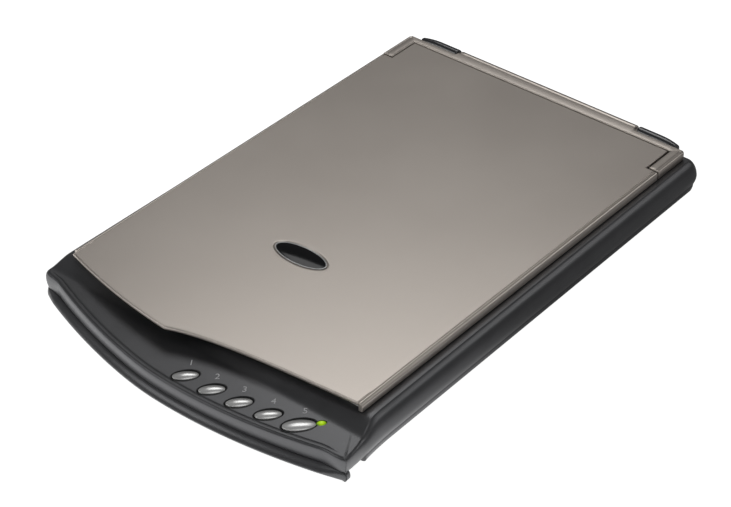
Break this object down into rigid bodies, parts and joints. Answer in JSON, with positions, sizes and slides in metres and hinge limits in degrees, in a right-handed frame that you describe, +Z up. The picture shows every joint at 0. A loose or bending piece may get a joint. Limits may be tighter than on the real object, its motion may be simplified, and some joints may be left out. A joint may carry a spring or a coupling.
{
  "type": "flatbed scanner",
  "caption": "Slim flatbed document scanner with a bowed control deck, oval buttons, a glass bed, a sliding sensor bar and a lid on a lifting double hinge.",
  "frame": {"origin": "centre of the bounding box in plan, at the bottom of the rubber feet", "axes": "+Z up, +Y from the control deck to the hinge, +X to the right seen from the front"},
  "size_m": [0.2581, 0.3908, 0.0323],
  "materials": {
    "champagne_paint": "satin metallic",
    "charcoal_plastic": "satin",
    "black_plastic": "matte",
    "badge_black": "gloss",
    "black_rubber": "matte",
    "bright_steel": "brushed",
    "pinion_brass": "machined",
    "clear_glass": "clear",
    "white_sheet": "matte",
    "grey_foam": "matte",
    "white_plastic": "satin",
    "silver_button": "satin metallic",
    "green_lens": "translucent",
    "board_green": "solder mask"
  },
  "bodies": {
    "housing": {"bottom_shell": "charcoal_plastic", "top_shell": "charcoal_plastic", "foot_1": "black_rubber", "foot_2": "black_rubber", "foot_3": "black_rubber", "foot_4": "black_rubber", "case_screw_1": "bright_steel", "case_screw_2": "bright_steel", "case_screw_3": "bright_steel", "case_screw_4": "bright_steel", "platen_glass": "clear_glass", "glass_tape": "black_plastic", "calibration_strip": "white_sheet", "hinge_knuckle_left": "charcoal_plastic", "hinge_knuckle_right": "charcoal_plastic", "drive_axle": "bright_steel", "motor_bracket": "bright_steel", "motor": "bright_steel", "idler_bracket": "black_plastic", "timing_belt": "black_rubber", "tension_spring": "bright_steel", "guide_rod": "bright_steel", "rod_clip_front": "black_plastic", "rod_clip_rear": "black_plastic", "tact_switch_1": "bright_steel", "tact_switch_2": "bright_steel", "tact_switch_3": "bright_steel", "tact_switch_4": "bright_steel", "tact_switch_5": "bright_steel", "status_led": "green_lens", "control_board": "board_green", "main_board": "board_green", "usb_socket": "bright_steel"},
    "rear_pins": {"hinge_pin_left": "bright_steel", "hinge_pin_right": "bright_steel"},
    "bracket": {"hinge_bracket": "champagne_paint", "arm_pin_left": "bright_steel", "arm_pin_right": "bright_steel"},
    "lid": {"lid_cover": "champagne_paint", "lid_liner": "black_plastic", "lid_foam": "grey_foam", "lid_mat": "white_sheet", "badge": "badge_black"},
    "carriage": {"carriage_frame": "black_plastic", "cis_housing": "black_plastic", "cis_window": "clear_glass", "cis_glide_left": "white_plastic", "cis_glide_right": "white_plastic", "cis_spring_left": "bright_steel", "cis_spring_right": "bright_steel", "rod_bushing": "white_plastic", "belt_clamp": "black_plastic"},
    "drive_pulley": {"drive_gear": "white_plastic"},
    "pinion": {"motor_pinion": "pinion_brass"},
    "idler": {"idler_pulley": "white_plastic"},
    "key_1": {"button_1": "silver_button"},
    "key_2": {"button_2": "silver_button"},
    "key_3": {"button_3": "silver_button"},
    "key_4": {"button_4": "silver_button"},
    "key_5": {"button_5": "silver_button"}
  },
  "joints": [
    {"name": "lid_open", "type": "hinge", "parent": "housing", "child": "rear_pins", "pos_m": [0, 0.1915, 0.028], "axis": [-1, 0, 0], "range_deg": [0, 100]},
    {"name": "book_lift", "type": "hinge", "parent": "rear_pins", "child": "bracket", "pos_m": [0, 0.1915, 0.028], "axis": [-1, 0, 0], "range_deg": [0, 40]},
    {"name": "lid_level", "type": "hinge", "parent": "bracket", "child": "lid", "pos_m": [0, 0.1605, 0.0283], "axis": [-1, 0, 0], "range_deg": [-40, 0]},
    {"name": "carriage_slide", "type": "slide", "parent": "housing", "child": "carriage", "axis": [0, 1, 0], "range_m": [0, 0.285]},
    {"name": "drive_pulley_spin", "type": "hinge", "parent": "housing", "child": "drive_pulley", "pos_m": [0.02, -0.16, 0.006], "axis": [0, 0, 1], "range_deg": [-1, 3300]},
    {"name": "pinion_spin", "type": "hinge", "parent": "housing", "child": "pinion", "pos_m": [0.03446, -0.16, 0.006], "axis": [0, 0, 1], "range_deg": [-9900, 3]},
    {"name": "idler_spin", "type": "hinge", "parent": "housing", "child": "idler", "pos_m": [0.02, 0.172, 0.008], "axis": [0, 0, 1], "range_deg": [-1, 3300]},
    {"name": "press_1", "type": "slide", "parent": "housing", "child": "key_1", "axis": [0, 0, -1], "range_m": [0, 0.0009], "stiffness_N_per_m": 200},
    {"name": "press_2", "type": "slide", "parent": "housing", "child": "key_2", "axis": [0, 0, -1], "range_m": [0, 0.0009], "stiffness_N_per_m": 200},
    {"name": "press_3", "type": "slide", "parent": "housing", "child": "key_3", "axis": [0, 0, -1], "range_m": [0, 0.0009], "stiffness_N_per_m": 200},
    {"name": "press_4", "type": "slide", "parent": "housing", "child": "key_4", "axis": [0, 0, -1], "range_m": [0, 0.0009], "stiffness_N_per_m": 200},
    {"name": "press_5", "type": "slide", "parent": "housing", "child": "key_5", "axis": [0, 0, -1], "range_m": [0, 0.0009], "stiffness_N_per_m": 200}
  ],
  "couplings": [
    {"joint": "lid_level", "follows": "book_lift", "ratio": -1},
    {"joint": "drive_pulley_spin", "follows": "carriage_slide", "rad_per_m": 185.19},
    {"joint": "pinion_spin", "follows": "carriage_slide", "rad_per_m": -555.56},
    {"joint": "idler_spin", "follows": "carriage_slide", "rad_per_m": 185.19}
  ]
}
